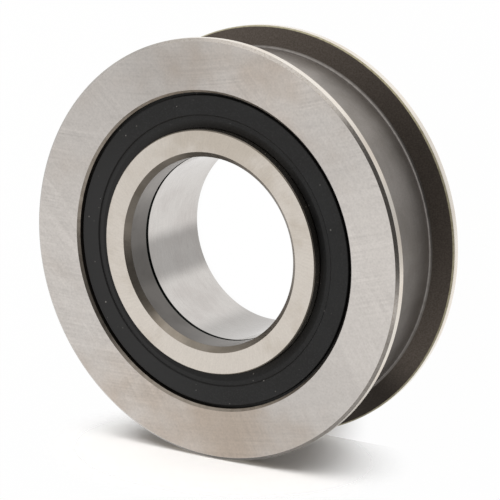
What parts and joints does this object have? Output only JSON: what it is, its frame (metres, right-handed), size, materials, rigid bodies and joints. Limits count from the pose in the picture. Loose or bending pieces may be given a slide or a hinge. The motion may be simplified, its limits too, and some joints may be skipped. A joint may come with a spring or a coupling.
{
  "type": "chain idler roller",
  "caption": "Flanged steel roller with a flat-bottomed chain groove round its rim, turning on a sealed cylindrical roller bearing with a plain bore for the shaft.",
  "frame": {"origin": "centre of the bore in the plane of the inner ring's rear face, on which the roller stands", "axes": "+Z along the bore towards the front face, +X through the middle of the first roller"},
  "size_m": [0.1, 0.1, 0.031],
  "materials": {
    "ring_steel": "ground faces and rim, satin groove, dark hardened flanks and chamfers",
    "bearing_steel": "ground, with dark hardened chamfers",
    "roller_steel": "polished",
    "polyamide": "moulded, matt",
    "seal_rubber": "moulded nitrile rubber, satin black"
  },
  "bodies": {
    "hub": {"inner_ring": "bearing_steel", "rib_ring": "bearing_steel"},
    "outer": {"outer_ring": "ring_steel", "front_seal": "seal_rubber", "rear_seal": "seal_rubber"},
    "cage": {"cage": "polyamide"},
    "roller_01": {"roller_01": "roller_steel"},
    "roller_02": {"roller_02": "roller_steel"},
    "roller_03": {"roller_03": "roller_steel"},
    "roller_04": {"roller_04": "roller_steel"},
    "roller_05": {"roller_05": "roller_steel"},
    "roller_06": {"roller_06": "roller_steel"},
    "roller_07": {"roller_07": "roller_steel"},
    "roller_08": {"roller_08": "roller_steel"},
    "roller_09": {"roller_09": "roller_steel"},
    "roller_10": {"roller_10": "roller_steel"},
    "roller_11": {"roller_11": "roller_steel"},
    "roller_12": {"roller_12": "roller_steel"},
    "roller_13": {"roller_13": "roller_steel"},
    "roller_14": {"roller_14": "roller_steel"},
    "roller_15": {"roller_15": "roller_steel"},
    "roller_16": {"roller_16": "roller_steel"}
  },
  "joints": [
    {"name": "outer_spin", "type": "hinge", "parent": "hub", "child": "outer", "pos_m": [0, 0, 0.0155], "axis": [0, 0, 1], "continuous": true},
    {"name": "cage_spin", "type": "hinge", "parent": "hub", "child": "cage", "pos_m": [0, 0, 0.0155], "axis": [0, 0, 1], "continuous": true},
    {"name": "roller_01_spin", "type": "hinge", "parent": "cage", "child": "roller_01", "pos_m": [0.0305, 0, 0.0155], "axis": [0, 0, 1], "continuous": true},
    {"name": "roller_02_spin", "type": "hinge", "parent": "cage", "child": "roller_02", "pos_m": [0.02818, 0.01167, 0.0155], "axis": [0, 0, 1], "continuous": true},
    {"name": "roller_03_spin", "type": "hinge", "parent": "cage", "child": "roller_03", "pos_m": [0.02157, 0.02157, 0.0155], "axis": [0, 0, 1], "continuous": true},
    {"name": "roller_04_spin", "type": "hinge", "parent": "cage", "child": "roller_04", "pos_m": [0.01167, 0.02818, 0.0155], "axis": [0, 0, 1], "continuous": true},
    {"name": "roller_05_spin", "type": "hinge", "parent": "cage", "child": "roller_05", "pos_m": [0, 0.0305, 0.0155], "axis": [0, 0, 1], "continuous": true},
    {"name": "roller_06_spin", "type": "hinge", "parent": "cage", "child": "roller_06", "pos_m": [-0.01167, 0.02818, 0.0155], "axis": [0, 0, 1], "continuous": true},
    {"name": "roller_07_spin", "type": "hinge", "parent": "cage", "child": "roller_07", "pos_m": [-0.02157, 0.02157, 0.0155], "axis": [0, 0, 1], "continuous": true},
    {"name": "roller_08_spin", "type": "hinge", "parent": "cage", "child": "roller_08", "pos_m": [-0.02818, 0.01167, 0.0155], "axis": [0, 0, 1], "continuous": true},
    {"name": "roller_09_spin", "type": "hinge", "parent": "cage", "child": "roller_09", "pos_m": [-0.0305, 0, 0.0155], "axis": [0, 0, 1], "continuous": true},
    {"name": "roller_10_spin", "type": "hinge", "parent": "cage", "child": "roller_10", "pos_m": [-0.02818, -0.01167, 0.0155], "axis": [0, 0, 1], "continuous": true},
    {"name": "roller_11_spin", "type": "hinge", "parent": "cage", "child": "roller_11", "pos_m": [-0.02157, -0.02157, 0.0155], "axis": [0, 0, 1], "continuous": true},
    {"name": "roller_12_spin", "type": "hinge", "parent": "cage", "child": "roller_12", "pos_m": [-0.01167, -0.02818, 0.0155], "axis": [0, 0, 1], "continuous": true},
    {"name": "roller_13_spin", "type": "hinge", "parent": "cage", "child": "roller_13", "pos_m": [0, -0.0305, 0.0155], "axis": [0, 0, 1], "continuous": true},
    {"name": "roller_14_spin", "type": "hinge", "parent": "cage", "child": "roller_14", "pos_m": [0.01167, -0.02818, 0.0155], "axis": [0, 0, 1], "continuous": true},
    {"name": "roller_15_spin", "type": "hinge", "parent": "cage", "child": "roller_15", "pos_m": [0.02157, -0.02157, 0.0155], "axis": [0, 0, 1], "continuous": true},
    {"name": "roller_16_spin", "type": "hinge", "parent": "cage", "child": "roller_16", "pos_m": [0.02818, -0.01167, 0.0155], "axis": [0, 0, 1], "continuous": true}
  ],
  "couplings": [
    {"joint": "cage_spin", "follows": "outer_spin", "ratio": 0.57377},
    {"joint": "roller_01_spin", "follows": "outer_spin", "ratio": 3.3151},
    {"joint": "roller_02_spin", "follows": "outer_spin", "ratio": 3.3151},
    {"joint": "roller_03_spin", "follows": "outer_spin", "ratio": 3.3151},
    {"joint": "roller_04_spin", "follows": "outer_spin", "ratio": 3.3151},
    {"joint": "roller_05_spin", "follows": "outer_spin", "ratio": 3.3151},
    {"joint": "roller_06_spin", "follows": "outer_spin", "ratio": 3.3151},
    {"joint": "roller_07_spin", "follows": "outer_spin", "ratio": 3.3151},
    {"joint": "roller_08_spin", "follows": "outer_spin", "ratio": 3.3151},
    {"joint": "roller_09_spin", "follows": "outer_spin", "ratio": 3.3151},
    {"joint": "roller_10_spin", "follows": "outer_spin", "ratio": 3.3151},
    {"joint": "roller_11_spin", "follows": "outer_spin", "ratio": 3.3151},
    {"joint": "roller_12_spin", "follows": "outer_spin", "ratio": 3.3151},
    {"joint": "roller_13_spin", "follows": "outer_spin", "ratio": 3.3151},
    {"joint": "roller_14_spin", "follows": "outer_spin", "ratio": 3.3151},
    {"joint": "roller_15_spin", "follows": "outer_spin", "ratio": 3.3151},
    {"joint": "roller_16_spin", "follows": "outer_spin", "ratio": 3.3151}
  ]
}
